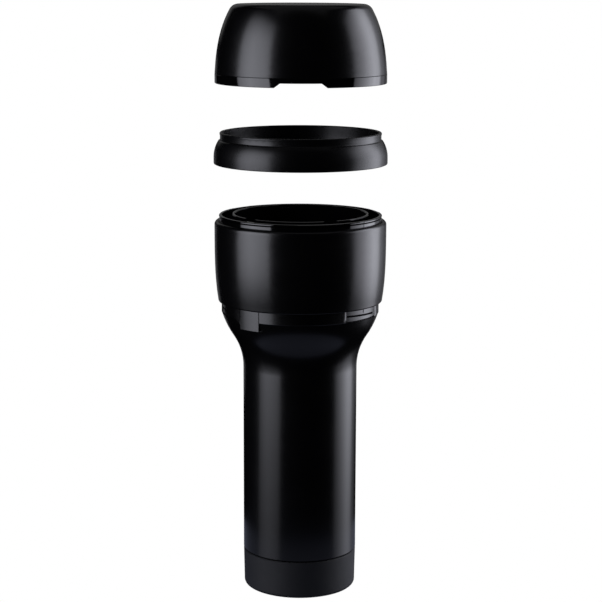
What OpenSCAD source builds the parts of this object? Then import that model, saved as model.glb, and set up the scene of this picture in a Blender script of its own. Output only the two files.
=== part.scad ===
// A slim flared case taken apart along its axis: a round cap, a twist-lock ring and a body.
// The base centre is the origin, +Z runs up the axis and -Y is the front. Millimetres.

/* [Handle] */
// Outer radius of the handle
grip_r = 29.3; // [29.2:0.05:29.4]
// Wall of the handle
grip_wall = 2.2; // [1.8:0.1:2.4]
// Height of the seam between the tail cap and the handle
seam_z = 19.7; // [19:0.1:20.5]
// Height where the handle starts to widen
flare_z = 116.7; // [116:0.1:117]

/* [Head] */
// Largest radius of the head shell
head_r = 43.85; // [43.6:0.05:43.9]
// Height of the head shell's lower edge
head_base_z = 151.1; // [150.6:0.1:151.4]
// Height of the head shell's upper edge
head_top_z = 192.6; // [192:0.1:193]
// How far the neck stands out of the head shell
neck_rise = 3; // [2.8:0.1:3.2]
// Outer radius of the neck's lip
lip_r = 41.5; // [41.45:0.05:41.6]
// Radius of the docking collar
collar_r = 40.35; // [40.2:0.05:40.4]

/* [Liner] */
// Outer radius of the liner
liner_r = 34.9; // [34.7:0.05:35]
// Wall of the liner
liner_wall = 1.5; // [1.3:0.1:1.6]
// Depth of the channel between the liner and the neck
channel_depth = 12; // [8:0.5:14]

/* [Ring] */
// Outer radius of the ring's skirt
ring_r = 44.1; // [44:0.05:44.2]
// Outer radius of the ring's neck
ring_neck_r = 40.85; // [40.7:0.05:40.9]
// Height of the ring
ring_h = 15.9; // [15.5:0.1:16.5]
// Lift of the ring above its seat
ring_lift = 28.8; // [10:0.1:40]
// Width of one locking lug, in degrees
lug_deg = 14; // [8:1:20]

/* [Cap] */
// Outer radius at the cap's lower edge
cap_r = 43.4; // [43.3:0.05:43.5]
// Height of the cap
cap_h = 39.3; // [39:0.1:40]
// Height of the cap's polished rim
rim_h = 4.6; // [4:0.1:5.5]
// Lift of the cap above its seat on the ring
cap_lift = 31; // [10:0.1:40]

/* [Tail] */
// Outer radius of the tail cap
tail_r = 29.25; // [29.1:0.05:29.3]
// Lead of the tail cap's thread, per full turn
tail_lead = 12; // [10:1:12]

/* [Hidden] */
$fn = 128;

gap = 0.05;                             // between pieces of one body that touch
run = 0.3;                              // between pieces that move past each other
black = [0.05, 0.05, 0.055];
gloss = [0.03, 0.03, 0.035];
tail_black = [0.12, 0.12, 0.13];
rubber = [0.1, 0.1, 0.1];

bore_r = grip_r - grip_wall;

// The flare is a hollow curve, then a full one that meets the collar.
flare_lean = 34.4;                      // steepest lean from upright
flare_end_lean = 17.5;
hollow_r = 30.2;
full_r = 43;
flare_mid_r = grip_r + hollow_r * (1 - cos(flare_lean));
flare_mid_z = flare_z + hollow_r * sin(flare_lean);
ledge_z = flare_mid_z + full_r * (sin(flare_lean) - sin(flare_end_lean));

// Throat, collar and barrel floor stack up inside the head shell.
throat_r = 38.4;
throat_bore_r = 35;
stack_z = ledge_z + 9.5;
floor_t = 3;
seal_r = throat_r - 0.8;
seal_wire = 0.55;
screw_r = 35.6;
screw_wire = 1;                         // radius of a screw's shank
screw_deg = [30, 150, 270];

// The latch tab stands in a pocket of the flare and a gap of the collar.
tab_from = -47.9;
tab_to = -30.9;
tab_drop = 4;                           // below the ledge
pocket_r = throat_r + 0.15;
tab_play = 0.6;                         // in degrees, on each side

barrel_r = lip_r - 0.1;
barrel_bore_r = 40;
lip_z = head_top_z + neck_rise;
channel_z = lip_z - channel_depth;
web_t = 1.5;
liner_top_z = lip_z + 0.5;
hook_deg = [45, 165, 285];
groove_z = lip_z - 1.5;
bead_z = lip_z - 0.75;
groove_slope = 0.1;                     // rise of the groove's two slanting walls

// The ring's own heights are counted from its lower edge.
seat_gap = 0.1;
ring_z = head_top_z + seat_gap + ring_lift;
gasket_t = 1.2;
gasket_h = neck_rise + seat_gap;        // the gasket's underside, just over the lip
ledge_h = gasket_h + gasket_t + 0.1;    // underside of the ring's inner ledge
lug_t = 0.4;
lug_h = groove_z + groove_slope + gap - head_top_z - seat_gap;   // underside of a lug
lug_deg_at = [-10, 110, 230];
skirt_bore_r = lip_r + 0.25;
shoulder_h = 3.5;

// The cap's own heights are counted from its lower edge.
cap_seat_h = 9.6;                       // above the ring's lower edge when closed
cap_z = ring_z + cap_seat_h + cap_lift;
cap_wall = 1.9;
sleeve_r = ring_neck_r + run;
sleeve_h = 6.5;                         // top of the sleeve that grips the ring's neck
wiper_t = 1.2;

// The cap's side leans in towards its crown, where an arc rounds it off into the flat top.
crown_r = 35.7;
crown_h = cap_h - 2.5;
crown_lean = 29.2;
crown_round = (cap_h - crown_h) / (1 - sin(crown_lean));

tail_floor = 3;
tail_bore_r = 27.1;
spigot_r = 25.7;
spigot_bore_r = 23.2;
spigot_z = 5;
ridge_deg = 40;                         // length of each thread ridge
ridge_deg_at = [0, 120, 240];
ridge_lean = atan(tail_lead / (2 * PI * spigot_r));
ridge_z = 11.2;                         // top of the handle's ridges, at their middle
ridge_h = 1.6;
ridge_gap = 0.25;

// Points on an arc about (x, z), between two angles.
function arc(x, z, r, from, to, steps) =
    [for (i = [0:steps]) let (a = from + (to - from) * i / steps) [x + r * cos(a), z + r * sin(a)]];

// Points on a curve pulled from p towards q and r, and ending at s.
function pull(p, q, r, s, steps) =
    [for (i = [0:steps]) let (t = i / steps, u = 1 - t)
        u * u * u * p + 3 * u * u * t * q + 3 * u * t * t * r + t * t * t * s];

// Outer line of the flare, moved inwards by a wall.
function flare_line(wall) = concat(
    arc(grip_r + hollow_r, flare_z, hollow_r + wall, 180, 180 - flare_lean, 8),
    arc(flare_mid_r - full_r * cos(flare_lean), flare_mid_z + full_r * sin(flare_lean),
        full_r - wall, -flare_lean, -flare_end_lean, 5)
);

module ring_of(r_in, r_out, z0, z1) {
    translate([0, 0, z0])
        difference() {
            cylinder(r = r_out, h = z1 - z0);
            translate([0, 0, -1])
                cylinder(r = r_in, h = z1 - z0 + 2);
        }
}

// Part of a ring that runs from one bearing to another. Bearings start at the front (-Y)
// and grow towards +X.
module sector(r_in, r_out, z0, z1, from, to) {
    rotate([0, 0, from - 90])
        translate([0, 0, z0])
            rotate_extrude(angle = to - from)
                translate([r_in, 0])
                    square([r_out - r_in, z1 - z0]);
}

// Puts its children at a bearing, with +X pointing outwards.
module at(deg) {
    rotate([0, 0, deg - 90])
        children();
}

module o_ring(r, wire, z) {
    translate([0, 0, z])
        rotate_extrude()
            translate([r, 0])
                circle(r = wire, $fn = 32);
}

// Tilts its children, which lie round bearing 0, so that they climb towards growing bearings.
// z is where their underside's middle comes.
module tilted(z, middle, lean) {
    at(middle)
        translate([0, 0, z])
            rotate([lean, 0, 0])
                at(180)
                    children();
}

// The room that the latch tab stands in, with play on each side.
module tab_room(r_in, z0, z1) {
    sector(r_in, collar_r + 1, z0, z1, tab_from - tab_play, tab_to + tab_play);
}

module grip_tube() {
    color(black)
    difference() {
        union() {
            rotate_extrude()
                polygon(concat(
                    [[spigot_bore_r, spigot_z], [spigot_r - 0.5, spigot_z], [spigot_r, spigot_z + 0.5],
                     [spigot_r, seam_z + 0.25], [grip_r - 0.4, seam_z + 0.25], [grip_r, seam_z + 0.65]],
                    flare_line(0),
                    [[throat_r, ledge_z], [throat_r, stack_z], [throat_bore_r, stack_z],
                     [throat_bore_r, flare_mid_z + 4]],
                    [for (i = [8:-1:0]) flare_line(grip_wall)[i]],
                    [[bore_r, seam_z + 6.5], [spigot_bore_r, seam_z + 3]]
                ));
            for (deg = screw_deg)
                at(deg)
                    translate([screw_r, 0, stack_z - 12])
                        cylinder(r = 2.1, h = 12);
            for (deg = ridge_deg_at)
                tilted(ridge_z - ridge_h, deg, ridge_lean)
                    sector(spigot_r - 0.5, spigot_r + 0.9, 0, ridge_h, -ridge_deg / 2, ridge_deg / 2);
        }
        for (deg = screw_deg)
            at(deg)
                translate([screw_r, 0, stack_z - 9])
                    cylinder(r = screw_wire + gap, h = 10);
        // pocket behind the latch tab
        tab_room(pocket_r, ledge_z - tab_drop - 1, ledge_z + 1);
    }
}

module dock_collar() {
    bay_from = [34.8, 154.8, 274.8];
    bay_deg = [36, 36, 26.2];           // the last one ends short of the latch tab
    bay_r = collar_r - 0.55;
    slot_deg = [for (deg = bay_deg) deg - 4];
    slot_h = 0.95;
    color(gloss)
    difference() {
        rotate_extrude()
            polygon([
                [throat_r + gap, ledge_z + gap], [collar_r - 0.3, ledge_z + gap],
                [collar_r, ledge_z + 0.35], [collar_r, stack_z - gap], [throat_r + gap, stack_z - gap],
            ]);
        for (i = [0:2]) {
            // shallow bay with upright ends
            sector(bay_r, collar_r + 1, ledge_z - 1, head_base_z + 0.6,
                   bay_from[i], bay_from[i] + bay_deg[i]);
            // lip that tapers in towards the flare
            rotate([0, 0, bay_from[i] - 90])
                rotate_extrude(angle = bay_deg[i])
                    polygon([[bay_r - 0.45, ledge_z - 0.1], [collar_r + 1, ledge_z - 0.1],
                             [collar_r + 1, ledge_z + 0.7], [bay_r, ledge_z + 0.7]]);
            // sloping slot, deeper at its foot
            tilted(ledge_z + 2.4, bay_from[i] + bay_deg[i] / 2 - 1.8, -2.3)
                rotate([0, 0, -90 - slot_deg[i] / 2])
                    rotate_extrude(angle = slot_deg[i])
                        polygon([[collar_r - 1.7, 0], [collar_r + 1, 0], [collar_r + 1, slot_h],
                                 [bay_r - 0.2, slot_h]]);
            // upright mark over the slot
            sector(collar_r - 1.4, collar_r + 1, ledge_z + 3.9, head_base_z + 0.6,
                   bay_from[i] + 17.4, bay_from[i] + 18.4);
            // slanted edges at the bay's start and end
            at(bay_from[i])
                translate([0, 0, ledge_z + 1.6])
                    linear_extrude(height = head_base_z - ledge_z - 1)
                        polygon([[bay_r + 0.2, 0.1], [collar_r + 0.1, -1.2], [collar_r + 1, -1.2],
                                 [collar_r + 1, 0.1]]);
            at(bay_from[i] + bay_deg[i])
                translate([0, 0, ledge_z - 1])
                    linear_extrude(height = head_base_z + 1.6 - ledge_z)
                        polygon([[bay_r + 0.03, -0.1], [collar_r + 0.1, 1.5], [collar_r + 1, 1.5],
                                 [collar_r + 1, -0.1]]);
        }
        // the latch tab's place
        tab_room(throat_r - 1, ledge_z - 1, stack_z + 1);
    }
}

module latch_tab() {
    fillet_r = 2.6;
    color(gloss)
    difference() {
        union() {
            sector(throat_r - 2, collar_r, ledge_z - tab_drop, stack_z - gap, tab_from, tab_to);
            // web that fills the corner between the tab and the collar
            at(tab_from)
                translate([throat_r, -fillet_r, ledge_z - fillet_r - 0.1])
                    difference() {
                        cube([collar_r - throat_r - 0.1, fillet_r + 0.5, fillet_r]);
                        translate([-1, 0, 0])
                            rotate([0, 90, 0])
                                cylinder(r = fillet_r - 0.2, h = 5);
                    }
        }
        // follows the throat and the flare behind it
        cylinder(r = pocket_r + gap, h = stack_z + 1);
        difference() {
            rotate_extrude()
                polygon(concat([[0, flare_z]], flare_line(-gap), [[0, ledge_z]]));
            tab_room(pocket_r, ledge_z - tab_drop - 1, ledge_z + 1);
        }
    }
}

module neck_barrel() {
    key_h = 3;
    color(gloss) {
        difference() {
            rotate_extrude()
                polygon([
                    [liner_r - liner_wall, stack_z], [collar_r, stack_z],
                    [barrel_r, stack_z + 1.3], [barrel_r, groove_z],
                    [lip_r - 1, groove_z + groove_slope], [lip_r - 0.5, bead_z - groove_slope],
                    [lip_r, bead_z], [lip_r, lip_z - 0.3], [lip_r - 0.3, lip_z],
                    [barrel_bore_r + 0.2, lip_z],
                    [barrel_bore_r, lip_z - 0.2], [barrel_bore_r, channel_z - web_t],
                    [barrel_bore_r - 0.9, channel_z - web_t], [barrel_bore_r - 0.9, stack_z + floor_t],
                    [liner_r - liner_wall, stack_z + floor_t],
                ]);
            // groove for the seal and holes for the screws
            ring_of(seal_r - seal_wire - gap, seal_r + seal_wire + gap,
                    stack_z - 1, stack_z + 2 * seal_wire + gap);
            for (deg = screw_deg)
                at(deg)
                    translate([screw_r, 0, stack_z - 1])
                        cylinder(r = screw_wire + 0.15, h = floor_t + 2);
            // entries that let the ring's lugs under the lip
            for (deg = lug_deg_at)
                sector(lip_r - 0.6, lip_r + 1, bead_z - groove_slope - 0.1, lip_z + 1,
                       deg - lug_deg / 2 - 1, deg + lug_deg / 2 + 1);
            // witness mark of the mould
            sector(barrel_r - 0.2, lip_r + 1, head_top_z - 1, lip_z + 1, 49.2, 49.8);
        }
        // hooks that hold the liner down
        for (deg = hook_deg)
            sector(barrel_bore_r - 1.6, barrel_bore_r + 0.5, channel_z + gap, channel_z + key_h,
                   deg - 2.5, deg + 2.5);
    }
}

module barrel_seal() {
    color(rubber)
    o_ring(seal_r, seal_wire, stack_z + seal_wire + gap / 2);
}

module barrel_screws() {
    color("silver")
    for (deg = screw_deg)
        at(deg)
            translate([screw_r, 0, stack_z + floor_t + gap]) {
                difference() {
                    cylinder(r = 1.85, h = 1.6);
                    translate([0, 0, 0.7])
                        cylinder(r = 0.9, h = 2, $fn = 6);
                }
                translate([0, 0, -10])
                    cylinder(r = screw_wire, h = 10.5);
            }
}

module liner_ring() {
    color(gloss)
    difference() {
        rotate_extrude()
            polygon([
                [liner_r - liner_wall, stack_z + floor_t + gap], [liner_r, stack_z + floor_t + gap],
                [liner_r, channel_z - web_t + gap], [barrel_bore_r - gap, channel_z - web_t + gap],
                [barrel_bore_r - gap, channel_z], [liner_r, channel_z],
                [liner_r, liner_top_z - 0.4], [liner_r - 0.4, liner_top_z],
                [liner_r - liner_wall + 0.4, liner_top_z], [liner_r - liner_wall, liner_top_z - 0.4],
            ]);
        // arches over the screw heads
        for (deg = screw_deg)
            sector(liner_r - liner_wall - 1, liner_r + 1, stack_z, stack_z + floor_t + 2.4,
                   deg - 20, deg + 20);
        // notches that key the insert
        for (deg = [-47, 26, 193])
            sector(liner_r - liner_wall - 1, liner_r + 1, liner_top_z - 1.6, liner_top_z + 1,
                   deg - 6, deg + 6);
    }
}

module head_shell() {
    base_r = head_r - 1.8;
    side_h = head_top_z - head_base_z - 2.3;
    function side_r(z) = head_r - 1.8 * pow((head_top_z - 1.5 - z) / side_h, 3.6);
    side = [for (i = [0:8]) let (z = head_base_z + 0.8 + side_h * i / 8.2) [side_r(z), z]];
    color(black)
    rotate_extrude()
        polygon(concat(
            [[collar_r + 0.15, head_base_z + 0.3], [collar_r + 0.45, head_base_z]],
            arc(base_r - 0.75, head_base_z + 0.8, 0.75, -90, -10, 4),
            side,
            arc(head_r - 2, head_top_z - 2, 2, 0, 70, 6),
            [[barrel_r + 0.3, head_top_z - 0.35], [barrel_r + gap, head_top_z - 0.6],
             [barrel_r + gap, stack_z + 1], [collar_r + 0.15, stack_z - 0.8]]
        ));
}

module ring_gasket() {
    color(rubber)
    rotate_extrude()
        translate([38.7, ring_z + gasket_h])
            polygon([
                [0, 0.15], [0.15, 0], [2.6, 0], [2.75, 0.15],
                [2.75, gasket_t - 0.15], [2.6, gasket_t], [0.15, gasket_t], [0, gasket_t - 0.15],
            ]);
}

module locking_ring() {
    shoulder_r = ring_neck_r + 0.8;
    full = 15;
    reach = ring_r - shoulder_r;
    shoulder_deg = acos(1 - reach / full);
    shoulder_top = shoulder_h + full * sin(shoulder_deg);
    color(black)
    translate([0, 0, ring_z]) {
        rotate_extrude()
            polygon(concat(
                [[skirt_bore_r + 0.3, 0], [ring_r - 0.5, 0], [ring_r - 0.15, 0.15], [ring_r, 0.5]],
                arc(ring_r - full, shoulder_h, full, 0, shoulder_deg, 8),
                arc(shoulder_r + 0.2, shoulder_top + 1, 1, 240, 180, 4),
                [[ring_neck_r, ring_h - 1.6], [ring_neck_r + 0.2, ring_h - 0.9],
                 [ring_neck_r + 0.2, ring_h - 0.35], [ring_neck_r - 0.15, ring_h],
                 [ring_neck_r - 0.9, ring_h], [ring_neck_r - 1.25, ring_h - 0.35],
                 [ring_neck_r - 1.25, ledge_h + 1.6], [38.4, ledge_h + 1.3],
                 [38.4, ledge_h], [skirt_bore_r, ledge_h], [skirt_bore_r, 0.3]]
            ));
        // locking lugs
        for (deg = lug_deg_at)
            sector(lip_r - 0.45, skirt_bore_r + 0.5, lug_h, lug_h + lug_t,
                   deg - lug_deg / 2, deg + lug_deg / 2);
        // keys on the inner wall
        for (deg = [78, 198, 318])
            sector(ring_neck_r - 2.1, ring_neck_r - 1, ledge_h + 1, ring_h - 5.5, deg - 1.5, deg + 1.5);
    }
}

// Outer line of the cap's side, moved inwards by a wall.
function cap_line(wall, steps) = pull(
    [cap_r - wall, 0], [cap_r - wall, 17],
    [crown_r + 4.57 - wall, crown_h - 8.2 - wall * 0.3],
    [crown_r - wall * cos(crown_lean), crown_h - wall * sin(crown_lean)], steps);

module cap_shell() {
    outer = [for (p = cap_line(0, 14)) if (p[1] > rim_h + 0.5) p];
    inner = [for (p = cap_line(cap_wall, 14)) if (p[1] > sleeve_h + wiper_t + 0.5) p];
    seat_r = cap_r - 1.05;
    wiper_top = sleeve_h + wiper_t + 0.1;
    color(black)
    translate([0, 0, cap_z])
        rotate_extrude()
            polygon(concat(
                [[seat_r, rim_h + gap], [cap_r - 0.2, rim_h + gap], [cap_r - 0.03, rim_h + 0.2]],
                outer,
                arc(crown_r - crown_round * cos(crown_lean), cap_h - crown_round, crown_round,
                    crown_lean + 8, 90, 7),
                [[0, cap_h], [0, cap_h - cap_wall], [crown_r - 5, cap_h - cap_wall]],
                [for (i = [len(inner) - 1:-1:0]) inner[i]],
                [[cap_r - cap_wall - 0.1, wiper_top], [seat_r, wiper_top]]
            ));
}

module cap_rim() {
    notch_top = 10.1;
    notch_foot = 13;
    notch_h = 2.2;
    color(gloss)
    translate([0, 0, cap_z])
        difference() {
            rotate_extrude()
                polygon([
                    [cap_r - 0.45, 0.1], [cap_r - 0.25, 0], [cap_r - 0.05, 0.2], [cap_r, 0.5],
                    [cap_r, rim_h - 0.1], [cap_r - 0.1, rim_h], [cap_r - 1.1, rim_h],
                    [cap_r - 1.1, sleeve_h], [sleeve_r, sleeve_h], [sleeve_r, 3.4],
                    [sleeve_r + 0.8, 1.9],
                ]);
            // thumb notch at the front
            translate([0, -cap_r + 6, 0])
                rotate([90, 0, 0])
                    linear_extrude(height = 12)
                        polygon([
                            [-notch_foot, -1], [-notch_foot, 0], [-notch_top, notch_h],
                            [notch_top, notch_h], [notch_foot, 0], [notch_foot, -1],
                        ]);
        }
}

module cap_wiper() {
    color(rubber)
    translate([0, 0, cap_z + sleeve_h + gap])
        ring_of(ring_neck_r - 1.8, cap_r - 1.15, 0, wiper_t);
}

module tail_seal() {
    color(rubber)
    o_ring(24.5, 0.9, tail_floor + 0.95);
}

module tail_cap() {
    foot_r = 28.9;
    edge = 2;
    color(tail_black)
    difference() {
        union() {
            rotate_extrude()
                polygon(concat(
                    [[0, 0]],
                    arc(foot_r - edge, edge, edge, -90, 0, 6),
                    [[tail_r, seam_z - 0.65], [tail_r - 0.4, seam_z - 0.25], [tail_bore_r, seam_z - 0.25],
                     [tail_bore_r, tail_floor], [0, tail_floor]]
                ));
            for (deg = ridge_deg_at)
                tilted(ridge_z + ridge_gap, deg, ridge_lean)
                    sector(tail_bore_r - 1.1, tail_bore_r + 0.5, 0, ridge_h,
                           -ridge_deg / 2, ridge_deg / 2);
        }
        // shallow round recess under the foot
        translate([0, 0, -1])
            cylinder(r = 22, h = 1.6);
    }
}

head_shell();
neck_barrel();
barrel_seal();
barrel_screws();
liner_ring();
dock_collar();
latch_tab();
grip_tube();
ring_gasket();
locking_ring();
cap_shell();
cap_rim();
cap_wiper();
tail_seal();
tail_cap();
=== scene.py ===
"""Studio scene around a packed flared case: finishes, softboxes, floor and camera, in metres."""

import math

import bpy
import numpy as np
from mathutils import Matrix

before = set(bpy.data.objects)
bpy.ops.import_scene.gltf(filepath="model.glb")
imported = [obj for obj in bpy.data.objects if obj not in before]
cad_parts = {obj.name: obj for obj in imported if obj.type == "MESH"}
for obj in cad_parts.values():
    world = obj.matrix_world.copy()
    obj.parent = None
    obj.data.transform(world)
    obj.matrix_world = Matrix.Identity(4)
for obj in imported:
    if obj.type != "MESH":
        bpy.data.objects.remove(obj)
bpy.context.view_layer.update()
scene = bpy.context.scene


# ---- materials ----------------------------------------------------------------------------------

# Pairs of a darker and a paler colour, between which a plastic drifts.
JET = (0.0012, 0.0012, 0.0014), (0.0022, 0.0022, 0.0026)
INK = (0.001, 0.001, 0.0012), (0.002, 0.002, 0.0022)
SLATE = (0.0035, 0.0038, 0.005), (0.006, 0.0065, 0.008)
SOOT = (0.006, 0.006, 0.006), (0.011, 0.011, 0.011)

# Each plastic: its colours, lowest and highest roughness, the scale and depth of its grain, and
# its specular level. Noise scales are per metre.
PLASTICS = {
    "satin_black": (JET, (0.2, 0.235), (2600, 6e-6), 0.5),
    "ring_satin_black": (JET, (0.25, 0.29), (2600, 8e-6), 0.38),
    "gloss_black": (INK, (0.05, 0.09), (900, 2e-6), 0.5),
    "semi_gloss_black": (INK, (0.2, 0.27), (2000, 5e-6), 0.5),
    "tail_matte": (SLATE, (0.56, 0.66), (3200, 3e-5), 0.36),
    "seal_rubber": (SOOT, (0.62, 0.75), (2400, 3e-5), 0.35),
}
COLOUR_DRIFT = 38
ROUGHNESS_DRIFT = 61

STEEL = (0.42, 0.42, 0.43)
STEEL_ROUGHNESS = (0.28, 0.42)
STEEL_DRIFT = 900


def new_material(name):
    """Principled material, with its tree, its shader and the object's coordinates."""
    material = bpy.data.materials.new(name)
    material.use_nodes = True
    tree = material.node_tree
    tree.nodes.clear()
    output = tree.nodes.new("ShaderNodeOutputMaterial")
    shader = tree.nodes.new("ShaderNodeBsdfPrincipled")
    tree.links.new(shader.outputs["BSDF"], output.inputs["Surface"])
    where = tree.nodes.new("ShaderNodeTexCoord").outputs["Object"]
    return material, tree, shader, where


def noise(tree, where, scale, detail=2.0, rough=0.5):
    node = tree.nodes.new("ShaderNodeTexNoise")
    node.inputs["Scale"].default_value = scale
    node.inputs["Detail"].default_value = detail
    node.inputs["Roughness"].default_value = rough
    tree.links.new(where, node.inputs["Vector"])
    return node.outputs["Fac"]


def spread(tree, value, low, high):
    """Stretch the middle of a noise, where most of it lies, over the range from low to high."""
    node = tree.nodes.new("ShaderNodeMapRange")
    node.inputs["From Min"].default_value = 0.3
    node.inputs["From Max"].default_value = 0.7
    node.inputs["To Min"].default_value = low
    node.inputs["To Max"].default_value = high
    tree.links.new(value, node.inputs["Value"])
    return node.outputs["Result"]


def plastic(name, colours, roughness, grain, specular):
    """Moulded plastic: its colour and roughness drift a little, and a fine grain lies over it."""
    material, tree, shader, where = new_material(name)
    dark, pale = colours
    mix = tree.nodes.new("ShaderNodeMix")
    mix.data_type = "RGBA"
    mix.inputs["A"].default_value = (*dark, 1)
    mix.inputs["B"].default_value = (*pale, 1)
    colour_noise = noise(tree, where, COLOUR_DRIFT, detail=4)
    tree.links.new(spread(tree, colour_noise, 0, 1), mix.inputs["Factor"])
    tree.links.new(mix.outputs["Result"], shader.inputs["Base Color"])
    rough_noise = noise(tree, where, ROUGHNESS_DRIFT, detail=5, rough=0.6)
    tree.links.new(spread(tree, rough_noise, *roughness), shader.inputs["Roughness"])
    grain_scale, grain_depth = grain
    bump = tree.nodes.new("ShaderNodeBump")
    bump.inputs["Strength"].default_value = 0.5
    bump.inputs["Distance"].default_value = grain_depth
    tree.links.new(noise(tree, where, grain_scale, detail=3), bump.inputs["Height"])
    tree.links.new(bump.outputs["Normal"], shader.inputs["Normal"])
    shader.inputs["Specular IOR Level"].default_value = specular
    return material


def steel(name):
    """Bare steel with a fine unevenness in its roughness."""
    material, tree, shader, where = new_material(name)
    shader.inputs["Metallic"].default_value = 1
    shader.inputs["Base Color"].default_value = (*STEEL, 1)
    tree.links.new(spread(tree, noise(tree, where, STEEL_DRIFT), *STEEL_ROUGHNESS),
                   shader.inputs["Roughness"])
    return material


finishes = {name: plastic(name, *look) for name, look in PLASTICS.items()}
finishes["screw_steel"] = steel("screw_steel")


# ---- CAD nodes ----------------------------------------------------------------------------------

SLOT = {
    "head_shell": "satin_black", "neck_barrel": "gloss_black", "barrel_seal": "seal_rubber",
    "barrel_screws": "screw_steel", "liner_ring": "gloss_black", "dock_collar": "semi_gloss_black",
    "latch_tab": "semi_gloss_black", "grip_tube": "satin_black", "ring_gasket": "seal_rubber",
    "locking_ring": "satin_black", "cap_shell": "satin_black", "cap_rim": "gloss_black",
    "cap_wiper": "seal_rubber", "tail_seal": "seal_rubber", "tail_cap": "tail_matte",
}
# The ring is a little duller than the other parts in its slot.
OWN_FINISH = {"locking_ring": "ring_satin_black"}

SMOOTH_ANGLE = math.radians(28)
PLACES_PER_METRE = 1e7      # points in the same tenth of a micrometre are one place
TINY = 1e-14


def read(items, name, width=1, kind=float):
    """One attribute of all items as an array, with a row for each item if it is a vector."""
    values = np.zeros(len(items) * width, kind)
    items.foreach_get(name, values)
    return values.reshape(-1, width) if width > 1 else values


def soften(obj):
    """Smooth the small steps of a curve, and leave the true edges sharp.

    A corner's normal becomes the mean over the faces that meet there and turn less than
    SMOOTH_ANGLE from its own face, weighted by their areas.
    """
    mesh = obj.data
    if mesh.has_custom_normals:
        mesh.attributes.remove(mesh.attributes["custom_normal"])
    mesh.shade_smooth()
    normals = read(mesh.polygons, "normal", 3)
    areas = read(mesh.polygons, "area")
    corner_face = np.repeat(np.arange(len(areas)), read(mesh.polygons, "loop_total", kind=int))
    keys = np.round(read(mesh.vertices, "co", 3) * PLACES_PER_METRE).astype(np.int64)
    _, place = np.unique(keys, axis=0, return_inverse=True)
    corner_place = place.ravel()[read(mesh.loops, "vertex_index", kind=int)]
    order = np.argsort(corner_place, kind="stable")
    next_places = np.flatnonzero(np.diff(corner_place[order])) + 1
    shared = np.zeros((len(order), 3))
    for corners in np.split(order, next_places):
        faces = corner_face[corners]
        facing = normals[faces]
        near = (facing @ facing.T) > math.cos(SMOOTH_ANGLE)
        total = near @ (facing * areas[faces][:, None])
        length = np.linalg.norm(total, axis=1, keepdims=True)
        shared[corners] = np.where(length > TINY, total / np.maximum(length, TINY), facing)
    mesh.normals_split_custom_set(shared.tolist())


for name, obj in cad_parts.items():
    soften(obj)
    obj.data.materials.clear()
    obj.data.materials.append(finishes[OWN_FINISH.get(name, SLOT[name])])


# ---- studio -------------------------------------------------------------------------------------

# Softboxes: brightness round the case as (bearing, brightness), in degrees from the camera's side
# and growing to its right, and brightness up the case as (height, brightness). They reach below
# the floor, because the camera looks down and walls mirror what is lower than they are.
PANEL_DISTANCE = 1.2
PANEL_TINT = (0.92, 0.93, 1.03)
LEFT_AROUND = [(-91, 1.2), (-86, 2.3), (-69, 3.8), (-41, 2.8)]
LEFT_UP = [(-0.55, 0.04), (-0.33, 0.12), (-0.24, 0.28), (-0.17, 0.36), (-0.04, 1), (0.3, 1.15),
           (0.75, 1), (1.3, 0.05)]
RIGHT_AROUND = [(74, 1), (104, 4.4), (114, 4.6), (116, 4), (125, 3), (132, 0.7), (150, 0.15)]
RIGHT_UP = [(-0.55, 0.1), (-0.33, 0.25), (-0.24, 0.45), (-0.17, 0.7), (-0.04, 1), (0.8, 1),
            (1.3, 0.3)]

WHITE = (1, 1, 1)
FLOOR_Z = -0.0002       # just under the case's foot
FLOOR_HALF = 30
UNDER_Z = -0.001        # sheets here show in reflections, which the floor lets through
GLOW_RADIUS = 0.125


def graph(tree, value, stops):
    """Turn a value from 0 to 1 into brightness, in straight lines between (value, brightness)."""
    top = max(brightness for _, brightness in stops)
    ramp = tree.nodes.new("ShaderNodeValToRGB")
    tree.links.new(value, ramp.inputs["Fac"])
    points = ramp.color_ramp.elements
    while len(points) > 1:
        points.remove(points[-1])
    for i, (place, brightness) in enumerate(stops):
        point = points[0] if i == 0 else points.new(place)
        grey = brightness / top
        point.position = place
        point.color = (grey, grey, grey, 1)
    scale = tree.nodes.new("ShaderNodeMath")
    scale.operation = "MULTIPLY"
    scale.inputs[1].default_value = top
    tree.links.new(ramp.outputs["Color"], scale.inputs[0])
    return scale.outputs["Value"]


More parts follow.
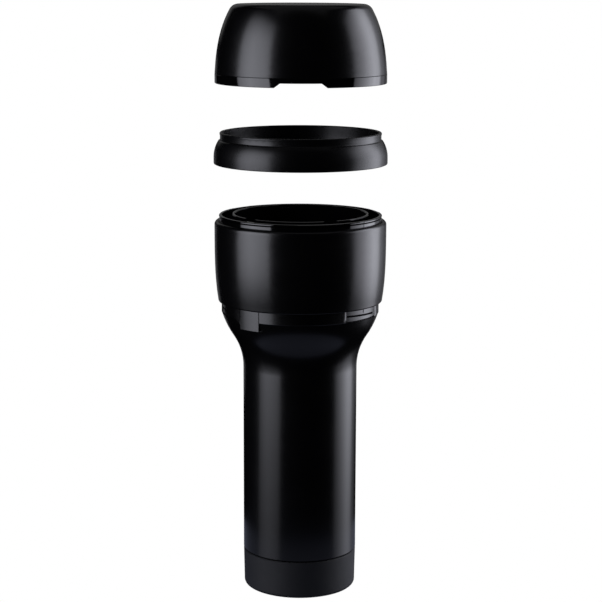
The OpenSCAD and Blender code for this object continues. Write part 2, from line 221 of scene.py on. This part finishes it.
def panel(name, around, up):
    """Upright softbox that faces the case's axis, with stops for its brightness each way."""
    first, last = around[0][0], around[-1][0]
    low, high = up[0][0], up[-1][0]
    middle = math.radians(first + last) / 2
    half = math.tan(math.radians(last - first) / 2)     # half its width, for a distance of 1
    across = [(0.5 + 0.5 * math.tan(math.radians(bearing) - middle) / half, brightness)
              for bearing, brightness in around]
    upward = [((z - low) / (high - low), brightness) for z, brightness in up]
    light = bpy.data.lights.new(name, "AREA")
    light.shape = "RECTANGLE"
    light.size = 2 * half * PANEL_DISTANCE
    light.size_y = high - low
    light.energy = math.pi * light.size * light.size_y      # so that a brightness of 1 is white
    light.color = PANEL_TINT
    light.use_nodes = True
    tree = light.node_tree
    split = tree.nodes.new("ShaderNodeSeparateXYZ")
    place = tree.nodes.new("ShaderNodeNewGeometry").outputs["Parametric"]
    tree.links.new(place, split.inputs["Vector"])
    both = tree.nodes.new("ShaderNodeMath")
    both.operation = "MULTIPLY"
    tree.links.new(graph(tree, split.outputs["X"], across), both.inputs[0])
    tree.links.new(graph(tree, split.outputs["Y"], upward), both.inputs[1])
    tree.links.new(both.outputs["Value"], tree.nodes["Emission"].inputs["Strength"])
    obj = bpy.data.objects.new(name, light)
    scene.collection.objects.link(obj)
    obj.location = (PANEL_DISTANCE * math.sin(middle), -PANEL_DISTANCE * math.cos(middle),
                    (low + high) / 2)
    obj.rotation_euler = (math.radians(90), 0, middle)
    obj.visible_camera = False


def card(name, corners, colour, clear=False):
    """Glowing sheet that only reflections show. A clear one adds its glow to what lies behind."""
    mesh = bpy.data.meshes.new(name)
    mesh.from_pydata(corners, [], [tuple(range(len(corners)))])
    obj = bpy.data.objects.new(name, mesh)
    scene.collection.objects.link(obj)
    material = bpy.data.materials.new(name)
    material.use_nodes = True
    mesh.materials.append(material)
    tree = material.node_tree
    tree.nodes.clear()
    output = tree.nodes.new("ShaderNodeOutputMaterial")
    glow = tree.nodes.new("ShaderNodeEmission")
    glow.inputs["Color"].default_value = (*colour, 1)
    surface = glow.outputs["Emission"]
    if clear:
        add = tree.nodes.new("ShaderNodeAddShader")
        tree.links.new(surface, add.inputs[0])
        tree.links.new(tree.nodes.new("ShaderNodeBsdfTransparent").outputs["BSDF"], add.inputs[1])
        surface = add.outputs["Shader"]
    tree.links.new(surface, output.inputs["Surface"])
    obj.visible_camera = False
    obj.visible_diffuse = False
    obj.visible_transmission = False
    obj.visible_shadow = False
    return obj


def quad(near, far):
    """Corners of a sheet between two edges along X, each given as (half its length, y, z)."""
    return [(-near[0], *near[1:]), near, far, (-far[0], *far[1:])]


def disc(radius, z, count=48):
    """Corners of a round sheet that lies level."""
    turn = [2 * math.pi * i / count for i in range(count)]
    return [(radius * math.cos(a), radius * math.sin(a), z) for a in turn]


panel("light_left", LEFT_AROUND, LEFT_UP)
panel("light_right", RIGHT_AROUND, RIGHT_UP)
card("backdrop", quad((0.87, 1.5, 0.36), (0.87, 1.5, 1.3)), (0.16, 0.16, 0.16))
card("floor_behind", quad((0.25, 0.4, UNDER_Z), (10, 20, UNDER_Z)), (0.16, 0.16, 0.17))
card("overhead", quad((0.9, -0.9, 1.6), (0.9, 0.9, 1.6)), (0.12, 0.12, 0.125))
card("floor_glow", disc(GLOW_RADIUS, UNDER_Z), (0.12, 0.13, 0.18), clear=True)

floor = card("floor", quad((FLOOR_HALF, -FLOOR_HALF, FLOOR_Z), (FLOOR_HALF, FLOOR_HALF, FLOOR_Z)),
             WHITE)
floor.visible_camera = True
floor.visible_glossy = False

world = bpy.data.worlds.new("studio")
scene.world = world
world.use_nodes = True
world.node_tree.nodes["Background"].inputs["Color"].default_value = (*WHITE, 1)
world.cycles_visibility.diffuse = False
world.cycles_visibility.glossy = False
scene.view_settings.view_transform = "Standard"


# ---- camera -------------------------------------------------------------------------------------

CAMERA_PLACE = (0.000415, -0.9106, 0.3189)
LENS = 107.64           # millimetres, for a sensor 36 mm wide
LOOKS_DOWN = 10.48      # degrees
ROLL = 0.17             # degrees

camera_data = bpy.data.cameras.new("camera")
camera_data.sensor_width = 36
camera_data.lens = LENS
camera = bpy.data.objects.new("camera", camera_data)
scene.collection.objects.link(camera)
camera.location = CAMERA_PLACE
tilt = Matrix.Rotation(math.radians(90 - LOOKS_DOWN), 3, "X")
roll = Matrix.Rotation(math.radians(ROLL), 3, "Z")
camera.rotation_euler = (tilt @ roll).to_euler()
scene.camera = camera
